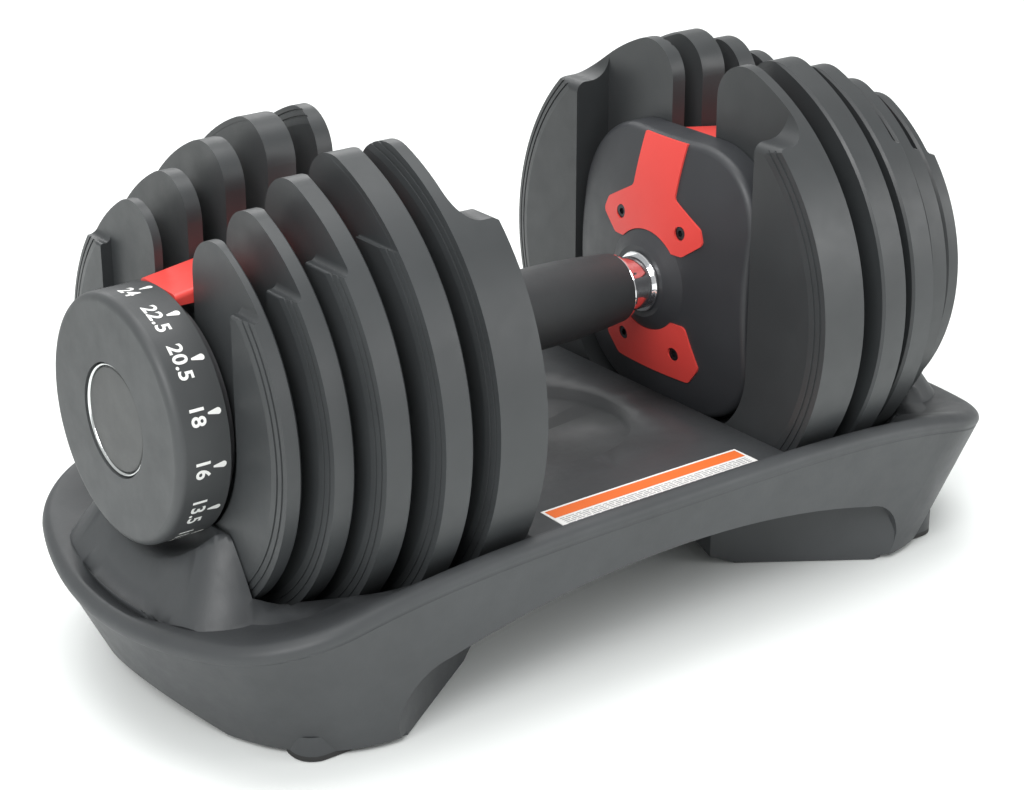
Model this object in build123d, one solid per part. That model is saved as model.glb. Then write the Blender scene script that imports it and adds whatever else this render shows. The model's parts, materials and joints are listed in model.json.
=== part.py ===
"""Dial-select adjustable dumbbell in its storage base.

Row frame: X along the handle, front of the base towards -Y, +Z up, origin on the
floor under the middle of the base. Everything is in millimetres. The right half is
modelled and the left half is its mirror image, except for the dial groups, which are
the same part turned half a turn about Z.
"""
from build123d import *
from math import atan2, cos, hypot, radians, sin, sqrt
import os

os.makedirs("parts", exist_ok=True)

# ---- driving dimensions ----------------------------------------------------------
AXIS_Z = 117.5            # height of the handle axis above the floor

# plates: radius, side nearest the grip, side nearest the dial, horn thickness,
# side that the disc recess opens to (+1 dial, -1 grip), height of the shoulder
PLATES = {
    1: dict(radius=78.6, inner=160.8, outer=168.9, horn=3.5, side=1, shoulder=50.0),
    2: dict(radius=86.0, inner=143.5, outer=154.0, horn=6.3, side=1, shoulder=56.0),
    3: dict(radius=94.2, inner=124.5, outer=137.6, horn=8.6, side=1, shoulder=63.0),
    4: dict(radius=99.7, inner=102.0, outer=116.0, horn=12.4, side=1, shoulder=68.0),
    5: dict(radius=100.0, inner=67.6, outer=92.1, horn=6.8, side=-1, shoulder=72.0),
}
SLOT_HALF = 14.0          # half width of the slot between a plate's two horns
HORN_ROUND = 16.0         # rounding of a horn's tip on its slot side
RECESS_HALF = 47.5        # half width of the recess for a selector disc
SUPPORT_RECESS_HALF = 56.5
BEVEL_RADIAL, BEVEL_AXIAL = 7.8, 1.6
GROOVE_WIDTH, GROOVE_DEPTH = 0.8, 0.5
EDGE_ROUND = 1.0
SKIN = 1.2                # moulded skin over the steel core

AXLE_R = 8.0
AXLE_END = 181.5
SLEEVE_R = 11.5
SLEEVE_START = 86.5
RUNNING_GAP = 0.06

DISC_R = 42.0             # selector discs
DISC_WEB = 2.0
RING_IN, RING_OUT = 30.0, 34.0
SIDE_GAP = 0.5            # axial gap between parts that turn past each other
LUG_HALF, LUG_TOP, LUG_BOTTOM = 5.0, 23.0, 29.5

# dial settings in order, clockwise as read from outside, with the plates each lifts
DIAL_STEP = 24.0
SETTINGS = ["12345", "2345", "345", "245", "45", "34", "24", "14", "4",
            "13", "3", "12", "2", "1", ""]

DIAL_R, DIAL_FACE_R = 47.8, 44.4
DIAL_BACK, DIAL_FACE = 171.3, 192.5
DIAL_WALL = 3.5
DIAL_RECESS_R = 22.0
LOCK_RING_R = 34.0        # notched ring inside the dial that the lock's nose works in

GRIP_HALF, GRIP_MID_R, GRIP_END_R = 43.5, 17.2, 14.6
COLLAR_R, COLLAR_END = 11.5, 57.0

SUPPORT_HALF, SUPPORT_TOP, SUPPORT_BOTTOM = 54.0, 61.5, -58.5
SUPPORT_CORNER = 34.0
SUPPORT_BACK = 84.8
DOME_R, DOME_APEX = 180.0, 60.2

BRIDGE_HALF = 12.8
BRIDGE_WALL = 2.6
BRIDGE_IN_TOP, BRIDGE_OUT_TOP = 60.5, 47.5
BRIDGE_UNDER = 43.3
BRIDGE_END = 171.0
PANEL_PROUD, PANEL_DEPTH = 0.8, 2.6
SCREW_HEAD_R, SCREW_R = 2.8, 1.5
UPPER_SCREWS = [(-19.0, 25.0), (19.0, 25.0)]
LOWER_SCREWS = [(-16.5, -29.5), (16.5, -29.5)]

END_PLATE_IN, END_PLATE_OUT = 169.0, 170.75
END_PLATE_R = 41.0
SLIDER_HALF = 5.0

# base, heights from the floor
PAD = 2.0
# plan outlines at the floor and at RIM_Z: half length, half width, radii of corner and end
FOOT = (186.0, 87.0, 52.0, 130.0)
RIM = (221.0, 101.0, 52.0, 167.0)
RIM_Z = 74.0
ARCH_DROP, ARCH_POWER = 24.0, 3.5   # how far the rim falls at x = 200, and how suddenly
SEAM_TOP, LIP_TOP, LIP_WIDTH = 65.8, 72.3, 11.0
DECK_TOP, DECK_DROP = 66.5, 24.0
WALL = 4.0
FLOOR_DEPTH = 9.0         # from the deck's surface to its underside
ISLAND_Z, ISLAND_X, ISLAND_Y, ISLAND_CORNER = 48.5, 193.5, 61.0, 20.0
ISLAND_TOP, ISLAND_DRAFT = 80.0, 0.57
SCOOP_IN_R, SCOOP_OUT_R, SCOOP_IN, SCOOP_OUT = 52.0, 58.5, 170.8, 200.0
BLADE_IN, BLADE_R = 169.4, 46.0
WELL_GAP, REST_GAP = 2.2, 0.3   # side play of a plate in its well, and gap under it
SEAT_HALF = 38.0          # half width of the stepped seats at the bottom of the trough
DISH_R, DISH_DEPTH = 41.6, 5.0
ARCH_APEX = 47.5
PAD_X, PAD_Y, PAD_CORNER, PAD_SPREAD_X, PAD_SPREAD_Y = 34.0, 20.0, 9.0, 148.0, 70.0
LABEL_X, LABEL_Y, LABEL_PLACE, LABEL_THICK = 100.0, 17.5, -79.5, 0.3

HANDLE = Axis((0, 0, AXIS_Z), (1, 0, 0))


# ---- helpers -----------------------------------------------------------------------
def across(x):
    """Plane square to the handle at x: local x is row Y, local y is height over the axis."""
    return Plane(origin=(x, 0, AXIS_Z), x_dir=(0, 1, 0), z_dir=(1, 0, 0))


def slab(x0, x1, sketch):
    return extrude(across(x0) * sketch, amount=x1 - x0)


def turned(points):
    """Solid turned about the handle axis from (x, radius) points."""
    corners = [(x, 0, AXIS_Z + r) for x, r in points]
    return revolve(make_face(Polyline(*corners, close=True)), axis=HANDLE)


def tube(x0, x1, outer, inner):
    return slab(x0, x1, Circle(outer) - Circle(inner))


def side_profile(points, y0, y1):
    """Prism along Y of an outline given as (x, z) points."""
    outline = make_face(Polyline(*[(x, y0, z) for x, z in points], close=True))
    return extrude(outline, amount=y1 - y0, dir=(0, 1, 0))


def both(part):
    return {"right": part, "left": mirror(part, about=Plane.YZ)}


def both_turned(part):
    return {"right": part, "left": Rot(0, 0, 180) * part}


def write(name, part):
    part = part if isinstance(part, (Part, Compound, Solid)) else Compound(children=list(part))
    part.label = name
    export_step(part, os.path.join("parts", name + ".step"))


def write_sides(name, sides):
    for side, part in sides.items():
        write(f"{name}_{side}", part)


# ---- plates ------------------------------------------------------------------------
def rim_points(radius, total, front_bevel, back_bevel):
    """Half section of a plate's rim, with two fine grooves along each bevel."""
    def bevel(face_x, inward):
        slope = BEVEL_AXIAL / BEVEL_RADIAL
        rows = [(0.0, 0.0)]
        for start in (2.4, 5.0):
            for along, deep in ((start, 0), (start + 0.1, 1), (start + GROOVE_WIDTH, 1),
                                (start + GROOVE_WIDTH + 0.1, 0)):
                rows.append((along, deep))
        rows.append((BEVEL_RADIAL, 0.0))
        return [(face_x + inward * (along * slope + deep * GROOVE_DEPTH),
                 radius - BEVEL_RADIAL + along) for along, deep in rows]

    back = bevel(0.0, 1) if back_bevel else [(0.0, radius - EDGE_ROUND), (EDGE_ROUND, radius)]
    front = bevel(total, -1) if front_bevel else [(total, radius - EDGE_ROUND),
                                                  (total - EDGE_ROUND, radius)]
    return [(0.0, 0.0)] + back + front[::-1] + [(total, 0.0)]


def shoulder_cut(web, total, shoulder, reach):
    """Space above a plate's shoulder: an S-shaped ramp down from the horn's face."""
    step = total - web
    hollow, crown = 0.55 * step, 0.25 * step
    z = AXIS_Z + shoulder
    diagonal = sqrt(0.5)
    foot_mid = (web + hollow * (1 - diagonal), 0, z + hollow * (1 - diagonal))
    crown_mid = (total - crown * (1 - diagonal), 0, z - crown * (1 - diagonal))
    lines = [
        Polyline((web, 0, z + reach), (web, 0, z + hollow)),
        ThreePointArc((web, 0, z + hollow), foot_mid, (web + hollow, 0, z)),
        Polyline((web + hollow, 0, z), (total - crown, 0, z)),
        ThreePointArc((total - crown, 0, z), crown_mid, (total, 0, z - crown)),
        Polyline((total, 0, z - crown), (total + 1, 0, z - crown), (total + 1, 0, z + reach),
                 (web, 0, z + reach)),
    ]
    face = make_face(Curve() + lines)
    return extrude(face, amount=reach, dir=(0, 1, 0), both=True)


def recess_outline(half, skin):
    if half == RECESS_HALF:
        return Circle(half + skin) + Pos(0, 60) * Rectangle(2 * (half + skin), 120)
    depth = -SUPPORT_BOTTOM + 3.0 + skin
    return (Pos(0, (120 - depth) / 2) * RectangleRounded(2 * (half + skin), 120 + depth, SUPPORT_CORNER)
            + Pos(0, 90) * Rectangle(2 * (half + skin), 120))


def plate_blank(spec, skin):
    """One plate in its own frame: closed face at x = 0, disc recess opening to +x."""
    total = spec["outer"] - spec["inner"] - 2 * skin
    web = spec["horn"] - 2 * skin
    radius = spec["radius"] - (2.0 * skin if skin else 0.0)
    two_sided = spec["side"] < 0
    if skin:
        blank = slab(0, total, Circle(radius - 1))
    else:
        blank = turned(rim_points(radius, total, True, two_sided))
    slot = SLOT_HALF + skin
    outline = Circle(radius) - Pos(0, radius) * Rectangle(2 * slot, 2 * radius) - Circle(slot)
    outline = fillet(outline.vertices().group_by(Axis.Y)[-1], HORN_ROUND)
    blank &= slab(0, total, outline)
    half = SUPPORT_RECESS_HALF if two_sided else RECESS_HALF
    blank -= slab(web, total + 1, recess_outline(half, skin))
    blank -= shoulder_cut(web, total, spec["shoulder"] - skin, 150)
    return Pos(skin, 0, 0) * blank


def plate(number):
    spec = PLATES[number]
    skin_body = plate_blank(spec, 0.0)
    core = plate_blank(spec, SKIN)
    if spec["side"] > 0:
        place = lambda part: Pos(spec["inner"], 0, 0) * part
        lug_from = spec["inner"] + spec["horn"] - SKIN - 0.5
    else:
        place = lambda part: Pos(spec["outer"], 0, 0) * mirror(part, about=Plane.YZ)
        lug_from = spec["outer"] - SKIN - 0.5
    skin_body, core = place(skin_body), place(core)
    lug = Pos(0, -(LUG_TOP + LUG_BOTTOM) / 2) * Rectangle(2 * LUG_HALF, LUG_BOTTOM - LUG_TOP)
    core += slab(lug_from, horn_face(number) + ring_height(number) - 0.2, lug)
    return skin_body - core, core


def horn_face(number):
    """Dial side of a plate's horn, where the plate's lug stands."""
    spec = PLATES[number]
    return spec["inner"] + spec["horn"] if spec["side"] > 0 else spec["outer"]


def next_face(number):
    return END_PLATE_IN if number == 1 else PLATES[number - 1]["inner"]


def ring_height(number):
    room = next_face(number) - horn_face(number) - 2 * SIDE_GAP - DISC_WEB
    return min(3.2, room)


# ---- selector discs and dials ------------------------------------------------------
def wedge(angle, half_angle, reach):
    """Sector of the plane round a direction, measured clockwise from straight up."""
    rays = [radians(angle - half_angle), radians(angle + half_angle)]
    return make_face(Polyline((0, 0), *[(reach * sin(a), reach * cos(a)) for a in rays], close=True))


def selector_disc(number):
    start = horn_face(number) + SIDE_GAP
    web = start + ring_height(number)
    ring = Circle(RING_OUT) - Circle(RING_IN)
    for step, lifted in enumerate(SETTINGS):
        if str(number) not in lifted:
            ring -= wedge(step * DIAL_STEP + 180, DIAL_STEP / 2 + 0.05, 60)
    hub = Circle(SLEEVE_R + 1.7) - Circle(SLEEVE_R)
    part = slab(web, web + DISC_WEB, Circle(DISC_R) - Circle(SLEEVE_R))
    part += slab(start, web, ring) + slab(start, web, hub)
    for hole in range(5):
        lightening = Rot(0, 0, 72 * hole + 36) * Pos(0, 21.5) * Circle(4.2)
        part -= slab(web - 1, web + DISC_WEB + 1, lightening)
    return part


def drive_sleeve():
    return tube(SLEEVE_START, AXLE_END, SLEEVE_R, AXLE_R + RUNNING_GAP)


def dial_knob():
    cup_floor, recess_floor = DIAL_FACE - 8.5, DIAL_FACE - 5.0
    edge = DIAL_R - DIAL_FACE_R
    knob = turned([
        (DIAL_BACK, SLEEVE_R), (DIAL_BACK, 17.0), (cup_floor, 17.0),
        (cup_floor, DIAL_R - DIAL_WALL), (DIAL_BACK, DIAL_R - DIAL_WALL), (DIAL_BACK, DIAL_R),
        (DIAL_FACE, DIAL_R), (DIAL_FACE, DIAL_RECESS_R), (recess_floor, DIAL_RECESS_R),
        (recess_floor, 14.0), (AXLE_END, 14.0), (AXLE_END, SLEEVE_R)])
    front = knob.edges().filter_by(
        lambda e: abs(e.center().X - DIAL_FACE) < 0.01 and abs(e.radius - DIAL_R) < 0.01)
    knob = fillet(front, edge)
    ring = Circle(LOCK_RING_R + 3.0) - Circle(LOCK_RING_R)
    for step in range(len(SETTINGS)):
        ring -= Rot(0, 0, step * DIAL_STEP) * Pos(0, -LOCK_RING_R) * Rectangle(6.0, 5.0)
    return knob + slab(DIAL_BACK + 1.5, cup_floor + 0.5, ring)


def dial_cap():
    floor = DIAL_FACE - 5.0
    cap = slab(floor, floor + 2.2, Circle(DIAL_RECESS_R - 0.2))
    return fillet(cap.edges().sort_by(Axis.X)[-1], 0.8)


# ---- handle ------------------------------------------------------------------------
def axle():
    bar = slab(-AXLE_END, AXLE_END, Circle(AXLE_R))
    for side in (-1, 1):
        start = AXLE_END - 16 if side > 0 else -AXLE_END
        bar -= slab(start, start + 16, Circle(4.0))
    return bar


def grip():
    arc = ThreePointArc((-GRIP_HALF, 0, AXIS_Z + GRIP_END_R), (0, 0, AXIS_Z + GRIP_MID_R),
                        (GRIP_HALF, 0, AXIS_Z + GRIP_END_R))
    rest = Polyline((GRIP_HALF, 0, AXIS_Z + GRIP_END_R), (GRIP_HALF, 0, AXIS_Z + AXLE_R),
                    (-GRIP_HALF, 0, AXIS_Z + AXLE_R), (-GRIP_HALF, 0, AXIS_Z + GRIP_END_R))
    sleeve = revolve(make_face(Curve() + [arc, rest]), axis=HANDLE)
    ends = sleeve.edges().filter_by(lambda e: e.geom_type == GeomType.CIRCLE and e.radius > AXLE_R + 1)
    return fillet(ends, 1.0)


def collar():
    return turned([
        (GRIP_HALF, AXLE_R), (GRIP_HALF, 13.6), (GRIP_HALF + 0.5, 14.0), (GRIP_HALF + 1.3, 14.0),
        (GRIP_HALF + 1.8, 13.4), (GRIP_HALF + 1.8, COLLAR_R), (COLLAR_END - 1.5, COLLAR_R),
        (COLLAR_END - 1.5, 12.6), (COLLAR_END - 1.1, 13.0), (COLLAR_END - 0.3, 13.0),
        (COLLAR_END, 12.6), (COLLAR_END, AXLE_R)])


def dome(grow):
    return Pos(DOME_APEX + DOME_R, 0, AXIS_Z) * Sphere(DOME_R + grow)


def upper_panel_outline():
    half = [(13.2, 66.0), (13.2, 38.0), (29.5, 29.0), (32.0, 23.0), (21.5, 15.5)]
    points = half + [(-y, z) for y, z in half[::-1]]
    outline = make_face(Polyline(*points, close=True)) - Circle(22.0)
    soft = [v for v in outline.vertices() if abs(v.X) > 13.0 and v.Y < 60 and hypot(v.X, v.Y) > 24]
    return fillet(soft, 2.6)


def lower_panel_outline():
    half = [(24.0, -15.0), (30.0, -33.0), (23.0, -41.5)]
    points = half + [(-y, z) for y, z in half[::-1]]
    outline = make_face(Polyline(*points, close=True)) - Circle(22.0)
    soft = [v for v in outline.vertices() if hypot(v.X, v.Y) > 24]
    return fillet(soft, 3.0)


def support_disc():
    height = SUPPORT_TOP - SUPPORT_BOTTOM
    outline = Pos(0, (SUPPORT_TOP + SUPPORT_BOTTOM) / 2) * RectangleRounded(
        2 * SUPPORT_HALF, height, SUPPORT_CORNER)
    disc = slab(DOME_APEX - 2, SUPPORT_BACK, outline) & dome(0)
    front = disc.edges().filter_by(lambda e: e.center().X < SUPPORT_BACK - 1)
    disc = fillet(front, 4.0)
    boss = turned([(COLLAR_END, AXLE_R), (COLLAR_END, 15.5), (COLLAR_END + 1.2, 17.5),
                   (COLLAR_END + 5.5, 24.0), (COLLAR_END + 8, 25.0), (COLLAR_END + 8, AXLE_R)])
    return disc + boss


def bridge():
    """Channel over the discs, and its panel on the support disc's dome."""
    start = DOME_APEX + 6
    top_z, end_z = AXIS_Z + BRIDGE_IN_TOP, AXIS_Z + BRIDGE_OUT_TOP
    under = AXIS_Z + BRIDGE_UNDER
    outside = side_profile([(start, under), (start, top_z), (start + 14, top_z), (BRIDGE_END, end_z),
                            (BRIDGE_END, under)], -BRIDGE_HALF, BRIDGE_HALF)
    top_edges = outside.edges().filter_by(
        lambda e: abs(abs(e.center().Y) - BRIDGE_HALF) < 0.01 and e.center().Z > under + 1
        and e.length > 13)
    outside = fillet(top_edges, 2.0)
    inside_half = BRIDGE_HALF - BRIDGE_WALL
    back = SUPPORT_BACK + 0.3
    slope = (BRIDGE_IN_TOP - BRIDGE_OUT_TOP) / (BRIDGE_END - start - 14)
    back_top = top_z - slope * (back - start - 14) - BRIDGE_WALL
    hollow = side_profile([(back, under - 5), (back, back_top), (BRIDGE_END + 1, end_z - BRIDGE_WALL),
                           (BRIDGE_END + 1, under - 5)], -inside_half, inside_half)
    channel = (outside - hollow) & (dome(PANEL_PROUD))
    saddle = side_profile([(start - 8, under - 60), (start - 8, AXIS_Z + 56), (back, AXIS_Z + 56),
                           (back, under - 60)], -BRIDGE_HALF - 1, BRIDGE_HALF + 1)
    channel -= saddle & slab(start - 8, back, Rectangle(200, 200))
    panel = slab(DOME_APEX - 3, DOME_APEX + 22, upper_panel_outline()) & dome(PANEL_PROUD)
    panel -= dome(-PANEL_DEPTH)
    panel &= slab(DOME_APEX - 3, DOME_APEX + 22, Pos(0, BRIDGE_IN_TOP - 100) * Rectangle(200, 200))
    red = channel + panel
    return red


def lower_panel():
    panel = slab(DOME_APEX - 3, DOME_APEX + 14, lower_panel_outline()) & dome(PANEL_PROUD)
    return panel - dome(-PANEL_DEPTH)


def dome_x(y, z):
    return DOME_APEX + DOME_R - sqrt(DOME_R ** 2 - y ** 2 - z ** 2)


def screw(y, z, length, grow=0.0):
    """Countersunk-flat socket screw with its head just under the dome's skin."""
    x = dome_x(y, z) - PANEL_PROUD + 0.5
    head = slab(x, x + 2.0, Pos(y, z) * Circle(SCREW_HEAD_R + grow))
    shank = slab(x + 2.0, x + length, Pos(y, z) * Circle(SCREW_R))
    if grow:
        return head + shank + slab(x - 3, x, Pos(y, z) * Circle(SCREW_HEAD_R + grow))
    return head + shank - slab(x - 1, x + 1.3, Pos(y, z) * RegularPolygon(1.5, 6))


def end_plate():
    outline = Circle(END_PLATE_R) - Circle(SLEEVE_R + 0.5)
    tab_top = BRIDGE_OUT_TOP - BRIDGE_WALL
    outline += Pos(0, tab_top - 5) * Rectangle(20, 10)
    outline -= Pos(0, -36) * Rectangle(2 * SLIDER_HALF + 0.6, 30)
    return slab(END_PLATE_IN, END_PLATE_OUT, outline)


def lock_slider():
    """Flat pawl in the end plate's window: its foot rests on the base's release blade."""
    flat = slab(END_PLATE_IN + 0.1, END_PLATE_OUT - 0.1,
                Pos(0, -35.3) * Rectangle(2 * SLIDER_HALF, 20.0))
    nose = slab(END_PLATE_OUT - 0.1, END_PLATE_OUT + 3.8, Pos(0, -27.3) * Rectangle(5.0, 4.0))
    return flat + nose


def lock_spring():
    """Zigzag return spring between the pawl and the top of the end plate's window."""
    low, rise, wire, half = -25.3, 1.25, 0.5, 3.8
    turns = [(half if turn % 2 else -half, low + turn * rise) for turn in range(4)]
    ribbon = Sketch()
    for (y0, z0), (y1, z1) in zip(turns, turns[1:]):
        ribbon += make_face(Polyline((y0, z0), (y1, z1), (y1, z1 + wire), (y0, z0 + wire), close=True))
    return slab(END_PLATE_IN + 0.2, END_PLATE_OUT - 0.2, ribbon)


def end_bolt():
    washer = tube(AXLE_END, AXLE_END + 1.4, 12.8, 4.0)
    head = slab(AXLE_END + 1.4, AXLE_END + 5.4, RegularPolygon(7.5, 6) - RegularPolygon(3.2, 6))
    floor = slab(AXLE_END + 1.4, AXLE_END + 3.0, RegularPolygon(3.4, 6))
    shank = slab(AXLE_END - 15, AXLE_END + 1.4, Circle(4.0))
    return washer + head + floor + shank


# ---- base --------------------------------------------------------------------------
def bowed(half_x, half_y, corner, end):
    """Plan outline of tangent lines and arcs: straight sides, round corners, bowed ends."""
    end_x, corner_y = half_x - end, half_y - corner
    reach = sqrt((end - corner) ** 2 - corner_y ** 2)
    corner_x = end_x + reach
    join = (end_x + end * reach / (end - corner), end * corner_y / (end - corner))
    turn = (radians(90) + atan2(corner_y, reach)) / 2
    middle = (corner_x + corner * cos(turn), corner_y + corner * sin(turn))
    lines = []
    for sx in (1, -1):
        lines.append(ThreePointArc((sx * join[0], -join[1]), (sx * half_x, 0), (sx * join[0], join[1])))
        lines.append(Line((-corner_x, sx * half_y), (corner_x, sx * half_y)))
        for sy in (1, -1):
            lines.append(ThreePointArc((sx * corner_x, sy * half_y), (sx * middle[0], sy * middle[1]),
                                       (sx * join[0], sy * join[1])))
    return make_face(Curve() + lines)


def plan_loft(low, high, z0, z1):
    return loft([Plane.XY.offset(z0) * bowed(*low), Plane.XY.offset(z1) * bowed(*high)], ruled=True)


def crown(top, drop):
    """Everything under a surface that runs level along the base's middle and falls at its ends."""
    right = [(x, top - drop * (x / 200) ** ARCH_POWER) for x in (50, 95, 130, 158, 182, 204, 226)]
    points = [(-x, 0, z) for x, z in right[::-1]] + [(0, 0, top)] + [(x, 0, z) for x, z in right]
    low = -20.0
    frame = Polyline(points[-1], (226, 0, low), (-226, 0, low), points[0])
    return extrude(make_face(Curve() + [Spline(*points), frame]), amount=150, dir=(0, 1, 0), both=True)


def island(inset):
    """Block at the base's end, round the outer plate wells and the dial scoop."""
    start = 110.0
    sections = []
    for z in (ISLAND_Z - 5, ISLAND_TOP - inset):
        lean = ISLAND_DRAFT * (z - ISLAND_Z) + inset
        end, half = ISLAND_X - lean, ISLAND_Y - lean
        corner = ISLAND_CORNER - 0.2 * (z - ISLAND_Z)
        sections.append(Plane.XY.offset(z) * Pos((start + inset + end) / 2, 0)
                        * RectangleRounded(end - start - inset, 2 * half, corner))
    return loft(sections, ruled=True)


def wells(grow):
    """Trough that the plates stand in, its stepped seats, and the scoop under the dial."""
    ends = [64.9] + [(PLATES[n]["outer"] + PLATES[n - 1]["inner"]) / 2 for n in (5, 4, 3, 2)] + [BLADE_IN]
    lift = Pos(0, 0, WELL_GAP - REST_GAP)
    bed = Part()
    for number, start, stop in zip((5, 4, 3, 2, 1), ends, ends[1:]):
        bore = Circle(PLATES[number]["radius"] + WELL_GAP + grow)
        bed += slab(start - grow, stop + grow, Pos(0, WELL_GAP - REST_GAP) * bore)
    edge = [(PLATES[n]["outer"], PLATES[n]["radius"] + WELL_GAP + grow) for n in (4, 3, 2, 1)]
    curve = Spline(*[(x, 0, AXIS_Z + r) for x, r in edge], tangents=[(1, 0, 0), (1, 0, -0.6)])
    first, last = edge[0], edge[-1]
    frame = Polyline((last[0], 0, AXIS_Z + last[1]), (BLADE_IN + grow, 0, AXIS_Z + last[1]),
                     (BLADE_IN + grow, 0, AXIS_Z), (ends[0] - grow, 0, AXIS_Z),
                     (ends[0] - grow, 0, AXIS_Z + first[1]), (first[0], 0, AXIS_Z + first[1]))
    trough = lift * revolve(make_face(Curve() + [curve, frame]), axis=HANDLE)
    seats = slab(0, 250, Rectangle(2 * (SEAT_HALF + grow), 400))
    blade_gap = slab(BLADE_IN - 0.4, SCOOP_IN + 0.4, Circle(BLADE_R + grow))
    scoop = turned([(SCOOP_IN - grow, 0), (SCOOP_IN - grow, SCOOP_IN_R + grow),
                    (SCOOP_OUT, SCOOP_OUT_R + grow), (SCOOP_OUT, 0)])
    return bed + (trough - seats) + blade_gap + scoop


def tunnel_plan(shift):
    """Plan of the passage under the base, between its two end pods."""
    quarter = [(65.0 - shift, 44.0), (131.0 - shift, 88.0), (136.0 - shift, 125.0)]
    right = [(x, -y) for x, y in quarter[::-1]] + quarter
    points = right + [(-x, -y) for x, y in right]
    return make_face(Polyline(*points, close=True))


def skirt_arch():
    low = -5.0
    arc = ThreePointArc((-108, 0, 32.5), (0, 0, ARCH_APEX), (108, 0, 32.5))
    bend = [ThreePointArc((s * 108, 0, 32.5), (s * 121, 0, 26.5), (s * 129, 0, 13)) for s in (1, -1)]
    rest = Polyline((129, 0, 13), (136, 0, low), (-136, 0, low), (-129, 0, 13))
    band = extrude(make_face(Curve() + [arc, rest] + bend), amount=150, dir=(0, 1, 0), both=True)
    return band


def end_arch():
    arc = ThreePointArc((0, -50, 0), (0, 0, 13.0), (0, 50, 0))
    rest = Polyline((0, 50, 0), (0, 50, -5), (0, -50, -5), (0, -50, 0))
    return extrude(make_face(Curve() + [arc, rest]), amount=260, dir=(1, 0, 0), both=True)


def inset(outline, amount):
    return [size - amount for size in outline]


def base_parts():
    """The upper tray with the rim, deck and wells, and the skirt that carries it."""
    tall = 90.0
    outer = plan_loft(FOOT, RIM, PAD, RIM_Z)
    within = plan_loft(inset(FOOT, WALL), inset(RIM, WALL), PAD - 4, RIM_Z)
    outer &= crown(LIP_TOP, ARCH_DROP)
    pocket = plan_loft(inset(FOOT, LIP_WIDTH), inset(RIM, LIP_WIDTH), PAD, RIM_Z)
    pocket -= crown(DECK_TOP, DECK_DROP)
    islands, cuts, beds = both(island(0.0)), both(wells(0.0)), both(wells(WALL))
    hollow = within & crown(DECK_TOP - FLOOR_DEPTH, DECK_DROP)
    for block in both(island(WALL)).values():
        hollow += block
    solid = outer - pocket
    for side in ("left", "right"):
        solid = solid + islands[side] - cuts[side]
        hollow -= beds[side]
    solid -= Pos(0, 0, DECK_TOP - DISH_DEPTH) * extrude(Circle(DISH_R), amount=20)
    ring = (outer - within) & crown(SEAM_TOP, ARCH_DROP)
    wall_band = extrude(tunnel_plan(-WALL / 2) - tunnel_plan(WALL / 2), amount=tall)
    tray = solid - hollow - ring
    passage = (skirt_arch() & extrude(tunnel_plan(WALL / 2), amount=2 * tall, both=True))
    skirt = ring + (hollow & wall_band) - passage
    boss = extrude(Plane.XY.offset(PAD) * RectangleRounded(PAD_X, PAD_Y, PAD_CORNER), amount=8)
    for x in (-PAD_SPREAD_X, PAD_SPREAD_X):
        for y in (-PAD_SPREAD_Y, PAD_SPREAD_Y):
            skirt += Pos(x, y, 0) * boss
    return tray, skirt - end_arch()


def rubber_feet():
    pad = extrude(RectangleRounded(PAD_X, PAD_Y, PAD_CORNER), amount=PAD)
    return [Pos(x, y, 0) * pad for x in (-PAD_SPREAD_X, PAD_SPREAD_X) for y in (-PAD_SPREAD_Y, PAD_SPREAD_Y)]


def base_label():
    flat = Pos(0, LABEL_PLACE, DECK_TOP) * Box(LABEL_X, LABEL_Y, 8)
    return flat & crown(DECK_TOP + LABEL_THICK, DECK_DROP) - crown(DECK_TOP, DECK_DROP)


# ---- build -------------------------------------------------------------------------
def build_plates():
    for number in PLATES:
        skin_body, core = plate(number)
        write_sides(f"plate_{number}", both(skin_body))
        write_sides(f"plate_core_{number}", both(core))


def build_dials():
    for number in PLATES:
        write_sides(f"selector_disc_{number}", both_turned(selector_disc(number)))
    write_sides("drive_sleeve", both_turned(drive_sleeve()))
    write_sides("dial_knob", both_turned(dial_knob()))
    write_sides("dial_cap", both_turned(dial_cap()))


def build_handle():
    write("handle_axle", axle())
    write("handle_grip", grip())
    write_sides("collar", both(collar()))
    screws = [screw(y, z, 16) for y, z in UPPER_SCREWS + LOWER_SCREWS]
    holes = [screw(y, z, 16, 0.2) for y, z in UPPER_SCREWS + LOWER_SCREWS]
    drilled = holes[0] + holes[1] + holes[2] + holes[3]
    red, red_low = bridge() - drilled, lower_panel() - drilled
    bore = slab(SLEEVE_START - 1, SUPPORT_BACK + 1, Circle(SLEEVE_R + 0.3))
    disc = support_disc() - slab(40, 100, Circle(AXLE_R)) - red - red_low - drilled - bore
    write_sides("support_disc", both(disc))
    write_sides("bridge", both(red))
    write_sides("lower_bracket", both(red_low))
    group = both(Compound(children=screws))
    write_sides("bracket_screws", group)
    write_sides("end_plate", both(end_plate()))
    bolt = both(end_bolt())
    write("end_bolts", [bolt["left"], bolt["right"]])
    write_sides("lock_slider", both(lock_slider()))
    write_sides("lock_spring", both(lock_spring()))


def build_base():
    tray, skirt = base_parts()
    write("base_tray", tray)
    write("base_skirt", skirt)
    write("rubber_feet", rubber_feet())
    write("base_label", base_label())


build_plates()
build_dials()
build_handle()
build_base()
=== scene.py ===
"""Looks of a dial-select adjustable dumbbell in its storage base.

Everything is in metres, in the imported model's frame: X along the handle, front of the
base towards -Y, +Z up, origin on the floor under the middle of the base.
"""
import json
import math

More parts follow.
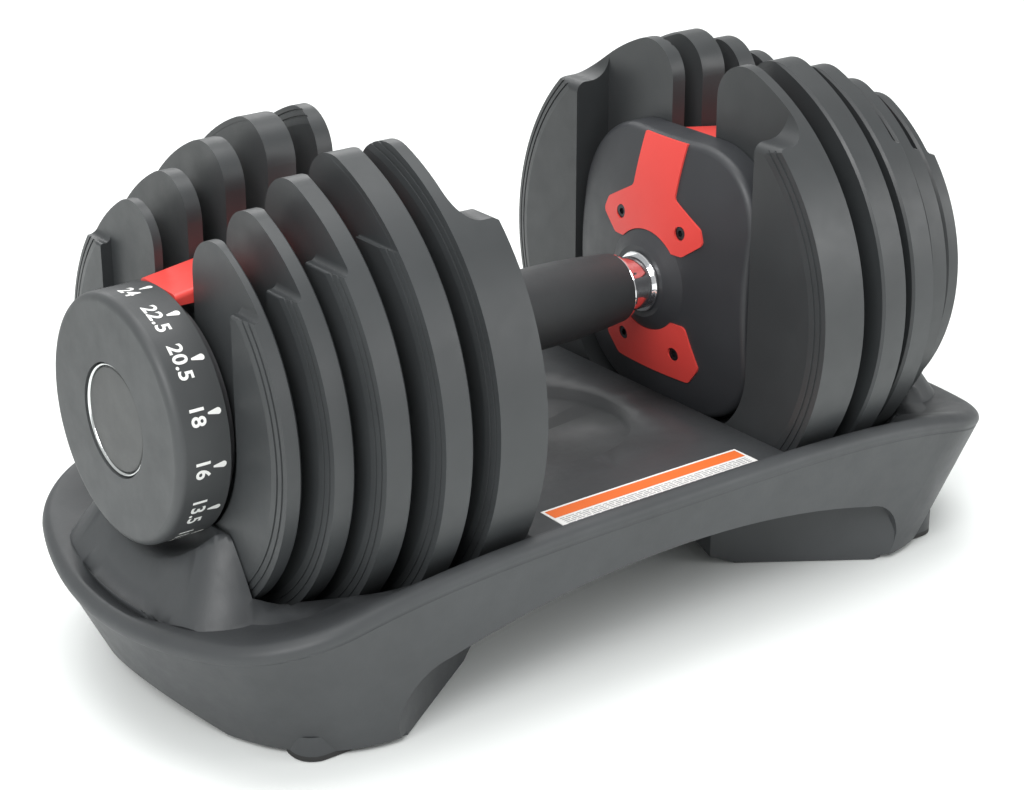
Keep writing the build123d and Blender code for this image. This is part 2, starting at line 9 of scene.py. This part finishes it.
import bmesh
import bpy
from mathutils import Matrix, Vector


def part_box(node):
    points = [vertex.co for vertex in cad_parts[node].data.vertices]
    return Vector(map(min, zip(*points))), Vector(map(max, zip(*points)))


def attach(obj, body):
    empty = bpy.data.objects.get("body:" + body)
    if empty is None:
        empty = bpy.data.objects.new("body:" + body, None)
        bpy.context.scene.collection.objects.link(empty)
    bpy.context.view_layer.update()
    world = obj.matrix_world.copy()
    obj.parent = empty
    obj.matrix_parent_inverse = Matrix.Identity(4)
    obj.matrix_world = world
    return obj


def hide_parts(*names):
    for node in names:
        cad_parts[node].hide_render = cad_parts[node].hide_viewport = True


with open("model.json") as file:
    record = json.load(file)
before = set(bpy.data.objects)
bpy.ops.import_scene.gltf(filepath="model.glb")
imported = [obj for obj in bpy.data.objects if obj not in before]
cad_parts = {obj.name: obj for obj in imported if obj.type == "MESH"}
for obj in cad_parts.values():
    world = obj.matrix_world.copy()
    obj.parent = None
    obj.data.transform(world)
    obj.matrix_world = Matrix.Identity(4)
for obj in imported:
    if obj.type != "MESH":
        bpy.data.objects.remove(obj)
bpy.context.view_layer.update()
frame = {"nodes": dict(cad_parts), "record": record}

NODES = frame["nodes"]
SIDES = {"left": -1, "right": 1}
MM = 0.001


# ---- shader helpers ----------------------------------------------------------------
def new_material(name):
    """Empty node material with one principled shader."""
    material = bpy.data.materials.new(name)
    material.use_nodes = True
    tree = material.node_tree
    tree.nodes.clear()
    out = tree.nodes.new("ShaderNodeOutputMaterial")
    shader = tree.nodes.new("ShaderNodeBsdfPrincipled")
    tree.links.new(shader.outputs[0], out.inputs[0])
    return material, tree, shader


def node(tree, kind, **values):
    """New shader node; a value is an attribute of it or, with _ for a space, an input."""
    made = tree.nodes.new(kind)
    for key, value in values.items():
        if hasattr(made, key):
            setattr(made, key, value)
        else:
            made.inputs[key.replace("_", " ")].default_value = value
    return made


def noise_texture(tree, scale, detail=3.0, roughness=0.55):
    """Noise in the object's own space, as a grey level."""
    place = node(tree, "ShaderNodeTexCoord")
    texture = node(tree, "ShaderNodeTexNoise", Scale=scale, Detail=detail, Roughness=roughness)
    tree.links.new(place.outputs["Object"], texture.inputs["Vector"])
    return texture.outputs["Fac"]


def ramp(tree, source, low, high, start=0.35, stop=0.65):
    """Maps a grey source to a colour or to a grey level between two values."""
    made = tree.nodes.new("ShaderNodeValToRGB")
    stops = made.color_ramp.elements
    stops[0].position, stops[1].position = start, stop
    stops[0].color, stops[1].color = low, high
    tree.links.new(source, made.inputs[0])
    return made.outputs["Color"]


def grey(value):
    return (value, value, value, 1.0)


def bump(tree, source, strength, distance, normal=None):
    made = node(tree, "ShaderNodeBump", Strength=strength, Distance=distance)
    tree.links.new(source, made.inputs["Height"])
    if normal:
        tree.links.new(normal, made.inputs["Normal"])
    return made.outputs["Normal"]


def moulded(name, colour, rough, grain=2600.0, depth=0.02 * MM, spread=0.12):
    """Moulded plastic or rubber: fine grain, faint flow marks and uneven gloss."""
    material, tree, shader = new_material(name)
    fine = noise_texture(tree, grain, 2.0)
    broad = noise_texture(tree, 14.0, 4.0)
    patch = noise_texture(tree, 90.0, 5.0, 0.65)
    low = tuple(c * (1 - spread) for c in colour) + (1.0,)
    high = tuple(c * (1 + spread) for c in colour) + (1.0,)
    tree.links.new(ramp(tree, broad, low, high), shader.inputs["Base Color"])
    gloss = ramp(tree, patch, grey(rough - 0.05), grey(rough + 0.07), 0.3, 0.7)
    tree.links.new(gloss, shader.inputs["Roughness"])
    normal = bump(tree, patch, 0.25, depth * 2)
    tree.links.new(bump(tree, fine, 0.6, depth, normal), shader.inputs["Normal"])
    return material


def metal(name, colour, rough, brushed=0.0):
    """Bare metal with faint smears and a fine surface."""
    material, tree, shader = new_material(name)
    shader.inputs["Metallic"].default_value = 1.0
    smear = noise_texture(tree, 60.0, 4.0)
    fine = noise_texture(tree, 1800.0, 3.0)
    low = tuple(c * 0.93 for c in colour) + (1.0,)
    high = tuple(colour) + (1.0,)
    tree.links.new(ramp(tree, smear, low, high), shader.inputs["Base Color"])
    tree.links.new(ramp(tree, smear, grey(rough * 0.8), grey(rough * 1.3)), shader.inputs["Roughness"])
    tree.links.new(bump(tree, fine, 0.2 + brushed, 0.01 * MM), shader.inputs["Normal"])
    return material


PLASTICS = {
    "plate_plastic": dict(colour=(0.036, 0.039, 0.041), rough=0.43),
    "tray_plastic": dict(colour=(0.044, 0.047, 0.050), rough=0.5, grain=1500.0, depth=0.05 * MM),
    "shell_plastic": dict(colour=(0.032, 0.034, 0.038), rough=0.45),
    "dial_plastic": dict(colour=(0.050, 0.053, 0.055), rough=0.50, grain=2000.0, depth=0.03 * MM),
    "cap_plastic": dict(colour=(0.060, 0.062, 0.062), rough=0.48),
    "disc_plastic": dict(colour=(0.060, 0.060, 0.064), rough=0.42),
    "red_plastic": dict(colour=(0.700, 0.060, 0.050), rough=0.42, spread=0.05),
    "grip_rubber": dict(colour=(0.026, 0.028, 0.030), rough=0.6, grain=1800.0, depth=0.05 * MM),
    "foot_rubber": dict(colour=(0.020, 0.020, 0.020), rough=0.75),
    "label_film": dict(colour=(0.85, 0.84, 0.82), rough=0.35, spread=0.02),
    "ink_white": dict(colour=(0.86, 0.86, 0.84), rough=0.45, spread=0.03),
    "ink_orange": dict(colour=(0.80, 0.165, 0.035), rough=0.4, spread=0.05),
    "ink_grey": dict(colour=(0.30, 0.30, 0.31), rough=0.5, spread=0.1),
}
METALS = {
    "core_steel": dict(colour=(0.25, 0.25, 0.26), rough=0.5),
    "steel": dict(colour=(0.62, 0.62, 0.64), rough=0.28, brushed=0.2),
    "spring_steel": dict(colour=(0.50, 0.50, 0.53), rough=0.3),
    "black_steel": dict(colour=(0.06, 0.06, 0.065), rough=0.4),
    "chrome": dict(colour=(0.86, 0.86, 0.88), rough=0.08),
    "chrome_soft": dict(colour=(0.80, 0.82, 0.82), rough=0.16),
}
MATERIALS = {name: moulded(name, **look) for name, look in PLASTICS.items()}
MATERIALS.update((name, metal(name, **look)) for name, look in METALS.items())


def dress_frame():
    """Gives every CAD node the material of its slot in the record."""
    slots = {part["node"]: part["material_slot"] for part in frame["record"]["subparts"]}
    for name, obj in NODES.items():
        obj.data.materials.clear()
        obj.data.materials.append(MATERIALS[slots[name]])


# ---- stage -------------------------------------------------------------------------
SENSOR, LENS = 36.0, 84.0              # millimetres
CAMERA_PLACE = (-0.5593, -0.7277, 0.4603)
CAMERA_HEADING, CAMERA_TILT = math.radians(52.966), math.radians(-22.534)
LIGHTS = {
    "key": dict(place=(-1.5, -1.0, 1.5), target=(0, 0, 0.1), size=(1.2, 0.9), power=34.0),
    "top": dict(place=(0.1, 0.2, 2.0), target=(0, 0, 0.1), size=(1.6, 1.2), power=26.0),
    "fill": dict(place=(1.4, -1.5, 0.7), target=(0, 0, 0.1), size=(1.0, 1.0), power=12.0),
    "rear": dict(place=(0.6, 1.8, 1.2), target=(0, 0, 0.15), size=(1.6, 0.8), power=12.0),
}
WORLD_COLOUR, WORLD_STRENGTH = (0.96, 0.98, 0.97, 1.0), 0.62
FLOOR_HALF, FLOOR_CELLS = 6.0, 8
FLOOR_GAP = 0.5 * MM                   # keeps the floor just under the feet
FLOOR_COLOUR = (0.90, 0.92, 0.91, 1.0)


def aim(holder, place, direction):
    """Puts a camera or a light at a place, looking along a direction."""
    holder.location = place
    holder.rotation_mode = "QUATERNION"
    holder.rotation_quaternion = direction.to_track_quat("-Z", "Y")


def camera():
    """Stands off the left front of the object and looks down on it, as a product shot does."""
    data = bpy.data.cameras.new("camera")
    data.sensor_width, data.lens = SENSOR, LENS
    data.clip_start, data.clip_end = 0.05, 20.0
    made = bpy.data.objects.new("camera", data)
    bpy.context.scene.collection.objects.link(made)
    level = math.cos(CAMERA_TILT)
    ahead = (level * math.cos(CAMERA_HEADING), level * math.sin(CAMERA_HEADING), math.sin(CAMERA_TILT))
    aim(made, CAMERA_PLACE, Vector(ahead))
    bpy.context.scene.camera = made


def area_light(name, place, target, size, power):
    """Rectangular lamp that shines from a place at a target."""
    data = bpy.data.lights.new(name, "AREA")
    data.shape, data.size, data.size_y = "RECTANGLE", size[0], size[1]
    data.energy = power
    made = bpy.data.objects.new(name, data)
    bpy.context.scene.collection.objects.link(made)
    aim(made, place, Vector(target) - Vector(place))


def lights():
    """Four large lamps and an even pale surround, for soft shadows on a white ground."""
    for name, lamp in LIGHTS.items():
        area_light(name, **lamp)
    world = bpy.data.worlds.new("studio")
    bpy.context.scene.world = world
    world.use_nodes = True
    background = world.node_tree.nodes["Background"]
    background.inputs["Color"].default_value = WORLD_COLOUR
    background.inputs["Strength"].default_value = WORLD_STRENGTH


def floor():
    """Pale flat floor, wide enough to fill the picture behind the object."""
    mesh = bpy.data.meshes.new("floor")
    work = bmesh.new()
    bmesh.ops.create_grid(work, x_segments=FLOOR_CELLS, y_segments=FLOOR_CELLS, size=FLOOR_HALF)
    work.to_mesh(mesh)
    work.free()
    made = bpy.data.objects.new("floor", mesh)
    bpy.context.scene.collection.objects.link(made)
    material, _, shader = new_material("floor")
    shader.inputs["Base Color"].default_value = FLOOR_COLOUR
    shader.inputs["Roughness"].default_value = 0.7
    made.data.materials.append(material)
    made.location.z = -FLOOR_GAP


# ---- mesh helpers ------------------------------------------------------------------
def closed_mesh(name, verts, faces):
    """New mesh with its faces turned outwards."""
    mesh = bpy.data.meshes.new(name)
    mesh.from_pydata([Vector(v) for v in verts], [], faces)
    work = bmesh.new()
    work.from_mesh(mesh)
    bmesh.ops.recalc_face_normals(work, faces=work.faces)
    work.to_mesh(mesh)
    work.free()
    return mesh


def mesh_piece(name, verts, faces, material, body, slot, smooth=35.0):
    """New visible piece that rides on a body of the frame."""
    mesh = closed_mesh(name, verts, faces)
    made = bpy.data.objects.new(name, mesh)
    bpy.context.scene.collection.objects.link(made)
    mesh.materials.append(material)
    shade(mesh, smooth)
    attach(made, body)
    return made


def shade(mesh, angle):
    """Smooth shading with sharp edges where faces meet at more than an angle in degrees."""
    for face in mesh.polygons:
        face.use_smooth = True
    mesh.set_sharp_from_angle(angle=math.radians(angle))


def join(verts, faces, more_verts, more_faces):
    """Adds one patch of points and cells to the lists of a larger mesh."""
    start = len(verts)
    verts += more_verts
    faces += [tuple(start + i for i in cell) for cell in more_faces]


def lathe(points, steps=96):
    """Closed ring of (along, radius) points turned about the X axis."""
    verts, faces = [], []
    count = len(points)
    for step in range(steps):
        turn = 2 * math.pi * step / steps
        verts += [(x, -r * math.sin(turn), r * math.cos(turn)) for x, r in points]
    for step in range(steps):
        here, there = step * count, (step + 1) % steps * count
        for i in range(count):
            j = (i + 1) % count
            faces.append((here + i, here + j, there + j, there + i))
    return verts, faces


# ---- rim of the base ---------------------------------------------------------------
FOOT = (186.0, 87.0, 52.0, 130.0)      # plan outline at the foot: half length, half width, radii
RIM = (221.0, 101.0, 52.0, 167.0)      # the same at the wall's top height
FOOT_Z, RIM_Z = 2.0, 74.0
LIP_TOP, SEAM_TOP, DECK_TOP, ARCH_DROP, ARCH_POWER = 72.3, 65.8, 66.5, 24.0, 3.5
ROLL_WIDTH, ROLL_DROP = 6.5, 4.6       # rounded outer part of the lip
ROLL_START, ROLL_STEPS = 0.45, 8       # how far over the seam it starts, and its facets
SLOPE_NARROW, SLOPE_EXTRA = 5.0, 15.0  # width of the inner slope, and what the corners add
CORNER_START, CORNER_SPAN = (122.0, 18.0), (30.0, 45.0)    # where it widens, along and across
SLOPE_STEPS, SLOPE_SINK = 8, 0.5       # its facets, and how far its foot sinks in the deck
LIP_BELLY = -8.5, -8.0                 # underside of the lip, inner and outer, under its crest
CUT_DIP = 0.35                         # the tray is cut this far under the lip's skin
CUT_IN, CUT_OUT, CUT_TOP = 11.5, -6.0, 14.0
CUT_SIDE = -6.4                        # lower edge of the cut on the outer wall


def outline(half_x, half_y, corner, end, per_side=40, per_corner=26, per_end=26):
    """Stations round the plan outline with their inward directions, the right half first."""
    end_x, corner_y = half_x - end, half_y - corner
    reach = math.sqrt((end - corner) ** 2 - corner_y ** 2)
    corner_x, lean = end_x + reach, math.atan2(corner_y, reach)
    quarter = []
    for i in range(per_side):
        quarter.append((corner_x * i / per_side, half_y, 0.0, 1.0))
    for i in range(per_corner):
        turn = math.pi / 2 + (lean - math.pi / 2) * i / per_corner
        quarter.append((corner_x + corner * math.cos(turn), corner_y + corner * math.sin(turn),
                        math.cos(turn), math.sin(turn)))
    for i in range(per_end + 1):
        turn = lean * (1 - i / per_end)
        quarter.append((end_x + end * math.cos(turn), end * math.sin(turn), math.cos(turn), math.sin(turn)))
    half = quarter + [(x, -y, nx, -ny) for x, y, nx, ny in quarter[-2::-1]]
    return half + [(-x, -y, -nx, -ny) for x, y, nx, ny in half[1:-1]]


def ease(share):
    """Smooth step from 0 to 1."""
    return share * share * (3 - 2 * share)


def fall(x):
    """How far the arched base has dropped at x, from its height in the middle."""
    return ARCH_DROP * (abs(x) / 200.0) ** ARCH_POWER


def slope_width(x, y):
    """How far the lip slopes inwards: narrow along the deck and the ends, wide at the corners."""
    along = min(max((abs(x) - CORNER_START[0]) / CORNER_SPAN[0], 0.0), 1.0)
    across = min(max((abs(y) - CORNER_START[1]) / CORNER_SPAN[1], 0.0), 1.0)
    return SLOPE_NARROW + SLOPE_EXTRA * ease(along) * across


def rim_rings(profile):
    """Rings of points: each profile entry is (inward distance, height over the lip's crest)."""
    low, high = outline(*FOOT), outline(*RIM)
    rings = []
    for entry in profile:
        ring = []
        for (x0, y0, _, _), (x1, y1, nx, ny) in zip(low, high):
            inward, rise = entry(x1, y1)
            share = (LIP_TOP - FOOT_Z) / (RIM_Z - FOOT_Z)
            for _ in range(3):         # the wall leans and the rim falls, so height and place settle together
                x = x0 + (x1 - x0) * share - nx * inward
                z = LIP_TOP - fall(x) + rise
                share = (z - FOOT_Z) / (RIM_Z - FOOT_Z)
            y = y0 + (y1 - y0) * share - ny * inward
            ring.append((x * MM, y * MM, z * MM))
        rings.append(ring)
    return rings


def roll_profile():
    """Outer roll of the lip, from the seam up to the crest."""
    entries = [lambda x, y: (0.25, SEAM_TOP - LIP_TOP + ROLL_START)]
    for i in range(ROLL_STEPS + 1):
        turn = math.pi / 2 * i / ROLL_STEPS
        inward, rise = ROLL_WIDTH * (1 - math.cos(turn)) + 0.1, -ROLL_DROP * (1 - math.sin(turn))
        entries.append(lambda x, y, inward=inward, rise=rise: (inward, rise))
    return entries


def slope_profile(steps=SLOPE_STEPS):
    """Inner slope of the lip, from the crest down to just under the deck."""
    entries = []
    depth = LIP_TOP - DECK_TOP + SLOPE_SINK
    for i in range(1, steps + 1):
        part = i / steps
        drop = depth * (0.5 * ease(part) + part * 0.5)
        entries.append(lambda x, y, part=part, drop=drop:
                       (ROLL_WIDTH + slope_width(x, y) * part, -drop))
    return entries


def ring_faces(rings):
    """Joins rings of points, the last back to the first, into one closed tube."""
    verts, faces = [], []
    for ring in rings:
        verts += ring
    count, rows = len(rings[0]), len(rings)
    for row in range(rows):
        for i in range(count):
            j, above = (i + 1) % count, (row + 1) % rows
            faces.append((row * count + i, row * count + j, above * count + j, above * count + i))
    return verts, faces


def rim_lip():
    """Rolled lip with its inner slope, as one closed ring."""
    under = [lambda x, y: (ROLL_WIDTH + slope_width(x, y), LIP_BELLY[0]), lambda x, y: (1.5, LIP_BELLY[1])]
    verts, faces = ring_faces(rim_rings(roll_profile() + slope_profile() + under))
    mesh_piece("rim_lip", verts, faces, MATERIALS["tray_plastic"], "base", "tray_plastic", 50.0)


def rim_cutter():
    """Closed ring that takes away what stands over the underside of the lip's skin."""
    over = [lambda x, y: (CUT_IN, CUT_TOP), lambda x, y: (CUT_OUT, CUT_TOP), lambda x, y: (CUT_OUT, CUT_SIDE)]
    skin = roll_profile() + slope_profile(4)[:2]
    sunk = [lambda x, y, f=f: (f(x, y)[0], f(x, y)[1] - CUT_DIP) for f in skin]
    sunk.append(lambda x, y: (CUT_IN, -LIP_TOP + DECK_TOP + 0.05))
    verts, faces = ring_faces(rim_rings(over + sunk))
    made = bpy.data.objects.new("rim_cutter", closed_mesh("rim_cutter", verts, faces))
    bpy.context.scene.collection.objects.link(made)
    return made


def tray_shell():
    """The tray with the square edge of its rim taken down to the rolled lip."""
    cutter = rim_cutter()
    copy = NODES["base_tray"].data.copy()
    work = bmesh.new()
    work.from_mesh(copy)
    bmesh.ops.remove_doubles(work, verts=work.verts, dist=0.001 * MM)
    work.to_mesh(copy)
    work.free()
    shell = bpy.data.objects.new("tray_shell", copy)
    bpy.context.scene.collection.objects.link(shell)
    cut = shell.modifiers.new("cut", "BOOLEAN")
    cut.operation, cut.object, cut.solver = "DIFFERENCE", cutter, "MANIFOLD"
    seen = bpy.context.evaluated_depsgraph_get()
    shell.data = bpy.data.meshes.new_from_object(shell.evaluated_get(seen))
    shell.modifiers.clear()
    bpy.data.objects.remove(cutter)
    shell.data.materials.clear()
    shell.data.materials.append(MATERIALS["tray_plastic"])
    shade(shell.data, 28.0)
    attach(shell, "base")
    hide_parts("base_tray")


# ---- dials -------------------------------------------------------------------------
WEIGHTS = ["24", "22.5", "20.5", "18", "16", "13.5", "11.5", "10", "9", "8", "7", "5.5", "4.5", "3.5", "2"]
DIAL_STEP = math.radians(24.0)
DIAL_FACE, DIAL_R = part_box("dial_knob_right")[1][:2]       # outer face, and radius of the rim
AXIS_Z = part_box("handle_axle")[0][2] / 2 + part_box("handle_axle")[1][2] / 2
INK = 0.12 * MM                        # how far the printing stands off the rim
NUMBER_HEIGHT, CAPITAL_SHARE, SPACING = 5.7 * MM, 0.72, 1.06
STROKE = 0.2 * MM                      # thickens the numbers
NUMBER_BACK, TICK_BACK = 7.1 * MM, 13.8 * MM               # from the dial's face towards the plates
TICK_LENGTH, TICK_WIDE, TICK_NARROW, TICK_STEPS = 5.4 * MM, 1.25 * MM, 0.45 * MM, 8
CENTRE_R = 0.0001                      # the lathe can't close a point right on the axis
CAP_PROFILE = [                        # (out from the dial's face, radius) in millimetres
    (-4.2, CENTRE_R), (-1.3, CENTRE_R), (-1.25, 10.0), (-1.0, 18.6),
    (-1.15, 19.6), (-1.9, 20.2), (-4.2, 20.2),
]
RING_PROFILE = [
    (-4.2, 20.3), (-1.5, 20.3), (-0.9, 20.7), (-0.75, 21.1),
    (-1.0, 21.5), (-1.7, 21.8), (-4.2, 21.8),
]


def glyphs(text, height):
    """Flat mesh of a number in the built-in typeface, centred across, standing on its base line."""
    curve = bpy.data.curves.new("number", "FONT")
    curve.body, curve.size = text, height / CAPITAL_SHARE
    curve.align_x, curve.space_character = "CENTER", SPACING
    curve.offset = STROKE
    holder = bpy.data.objects.new("number", curve)
    bpy.context.scene.collection.objects.link(holder)
    bpy.context.view_layer.update()
    mesh = bpy.data.meshes.new_from_object(holder)
    verts = [(v.co.x, v.co.y) for v in mesh.vertices]
    faces = [tuple(face.vertices) for face in mesh.polygons]
    bpy.data.objects.remove(holder)
    return verts, faces


def tick():
    """Pointer: a drop with its round end towards the plates."""
    points = []
    for i in range(TICK_STEPS + 1):
        turn = math.pi * i / TICK_STEPS
        across = TICK_WIDE * math.cos(turn)
        points.append((across, TICK_LENGTH - TICK_WIDE + TICK_WIDE * math.sin(turn)))
    for i in range(TICK_STEPS + 1):
        turn = math.pi + math.pi * i / TICK_STEPS
        points.append((TICK_NARROW * math.cos(turn), TICK_NARROW + TICK_NARROW * math.sin(turn)))
    return points, [tuple(range(len(points)))]


def wrap(verts, sign, angle, base):
    """Lays flat (across, up) points on the dial's rim; up runs towards the plates."""
    radius = DIAL_R + INK
    placed = []
    for across, up in verts:
        turn = angle + across / DIAL_R
        placed.append((sign * (base - up), sign * radius * math.sin(turn), AXIS_Z + radius * math.cos(turn)))
    return placed


def dial_print(side):
    """White number and pointer at each setting of one dial."""
    sign = SIDES[side]
    verts, faces = [], []
    for index, weight in enumerate(WEIGHTS):
        marks = ((glyphs(weight, NUMBER_HEIGHT), NUMBER_BACK), (tick(), TICK_BACK))
        for (points, cells), back in marks:
            join(verts, faces, wrap(points, sign, index * DIAL_STEP, DIAL_FACE - back), cells)
    mesh_piece(f"dial_print_{side}", verts, faces, MATERIALS["ink_white"], f"dial_{side}",
               "dial_plastic", 60.0)


def turned_piece(name, side, profile, material):
    """Round piece of a dial's face, turned from a profile."""
    sign = SIDES[side]
    verts, faces = lathe([(DIAL_FACE + x * MM, r * MM) for x, r in profile])
    verts = [(sign * x, y, z + AXIS_Z) for x, y, z in verts]
    return mesh_piece(f"dial_{name}_{side}", verts, faces, MATERIALS[material], f"dial_{side}",
                      "cap_plastic", 40.0)


def dial_medallion(side):
    """Blank cap in the dial's face: a shallow dished disc inside a bright rolled ring."""
    disc = turned_piece("medallion", side, CAP_PROFILE, "cap_plastic")
    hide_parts(f"dial_cap_{side}")
    turned_piece("medallion_ring", side, RING_PROFILE, "chrome_soft")


# ---- label -------------------------------------------------------------------------
LABEL_EDGE, LABEL_GAP = 1.2 * MM, 0.08 * MM                # blank border, and height over the film
BAND_SHARE, BAND_CELLS = 0.56, 20      # where the orange band starts across the film
ROWS, ROW_HALF, ROW_MARGIN = 6, 0.24 * MM, 1.0 * MM
DASH_SHORT, DASH_EXTRA, DASH_GAP = 2.0, 3.4, 0.7           # lengths of the dashes, millimetres
DASH_TURN = 0.618                      # steps the dash length round unevenly


def label_patch(x0, x1, y0, y1, top, cells=1):
    """Strip over the film that follows the arch of the deck."""
    verts = []
    for i in range(cells + 1):
        x = x0 + (x1 - x0) * i / cells
        z = top - fall(x / MM) * MM + LABEL_GAP
        verts += [(x, y0, z), (x, y1, z)]
    return verts, [(2 * i, 2 * i + 2, 2 * i + 3, 2 * i + 1) for i in range(cells)]


def label_print():
    """Printing of the film without any words: an orange band over rows of plain grey dashes."""
    low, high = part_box("base_label")
    top = high[2]
    split = low[1] + BAND_SHARE * (high[1] - low[1])
    left, right = low[0] + LABEL_EDGE, high[0] - LABEL_EDGE
    band = label_patch(left, right, split, high[1] - LABEL_EDGE, top, BAND_CELLS)
    mesh_piece("label_band", *band, MATERIALS["ink_orange"], "base", "label_film")
    verts, faces = [], []
    first = split - ROW_MARGIN
    pitch = (first - low[1] - LABEL_EDGE) / ROWS
    for row in range(ROWS):
        y = first - pitch * (row + 0.5)
        x, index = low[0] + 2 * LABEL_EDGE, row
        while x < high[0] - 3 * LABEL_EDGE:
            length = (DASH_SHORT + DASH_EXTRA * ((index * DASH_TURN) % 1.0)) * MM
            stop = min(x + length, high[0] - 2 * LABEL_EDGE)
            join(verts, faces, *label_patch(x, stop, y - ROW_HALF, y + ROW_HALF, top))
            x, index = stop + DASH_GAP * MM, index + 1
    mesh_piece("label_rows", verts, faces, MATERIALS["ink_grey"], "base", "label_film")


# ---- build -------------------------------------------------------------------------
camera()
lights()
floor()
dress_frame()
rim_lip()
tray_shell()
label_print()
for side in SIDES:
    dial_print(side)
    dial_medallion(side)
bpy.context.scene.view_settings.view_transform = "Standard"
